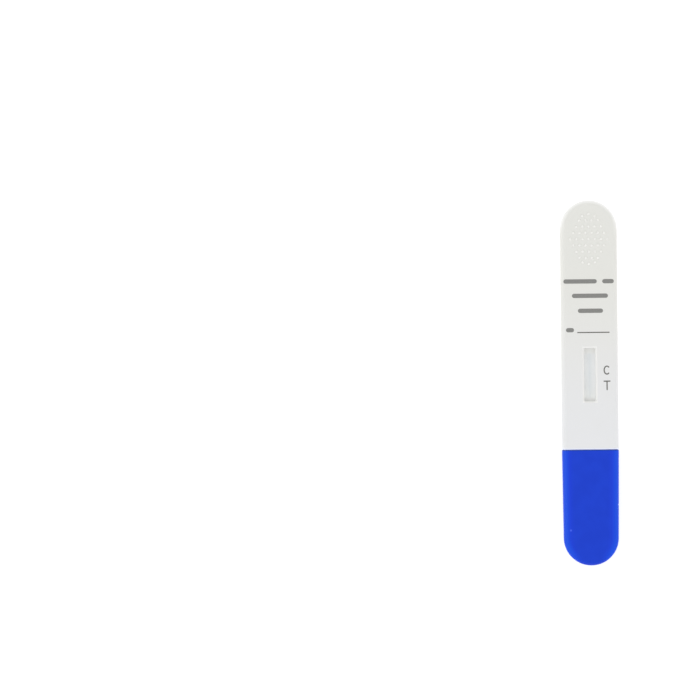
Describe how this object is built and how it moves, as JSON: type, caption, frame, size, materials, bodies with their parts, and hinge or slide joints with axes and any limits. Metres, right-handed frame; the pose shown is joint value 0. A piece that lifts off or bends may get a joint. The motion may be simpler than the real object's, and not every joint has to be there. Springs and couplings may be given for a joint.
{
  "type": "lateral flow test stick",
  "caption": "Pen-shaped lateral flow test for saliva: white shell body with a reading window and dotted grip, a test strip inside, and a blue pull-off cap over the collection wick.",
  "frame": {"origin": "middle of the underside, half way along the stick with its cap on", "axes": "+Y runs to the dotted grip end, +Z comes out of the face with the reading window, and +X is to the right when that face is read with the grip end up"},
  "size_m": [0.019, 0.1225, 0.0068],
  "materials": {
    "white_plastic": "fine moulded matte",
    "blue_plastic": "fine moulded satin",
    "card_plastic": "smooth sheet",
    "nitrocellulose": "fine porous sheet",
    "cotton_pad": "pressed fibre",
    "conjugate_fibre": "fibre with a dried reagent",
    "sample_fibre": "fibre",
    "wick_fibre": "bonded fibre"
  },
  "bodies": {
    "housing": {"front_housing": "white_plastic", "rear_housing": "white_plastic", "backing_card": "card_plastic", "membrane": "nitrocellulose", "absorbent_pad": "cotton_pad", "conjugate_pad": "conjugate_fibre", "sample_pad": "sample_fibre", "collection_wick": "wick_fibre"},
    "cap": {"cap": "blue_plastic"}
  },
  "joints": [
    {"name": "cap_slide", "type": "slide", "parent": "housing", "child": "cap", "axis": [0, -1, 0], "range_m": [0, 0.04]}
  ]
}
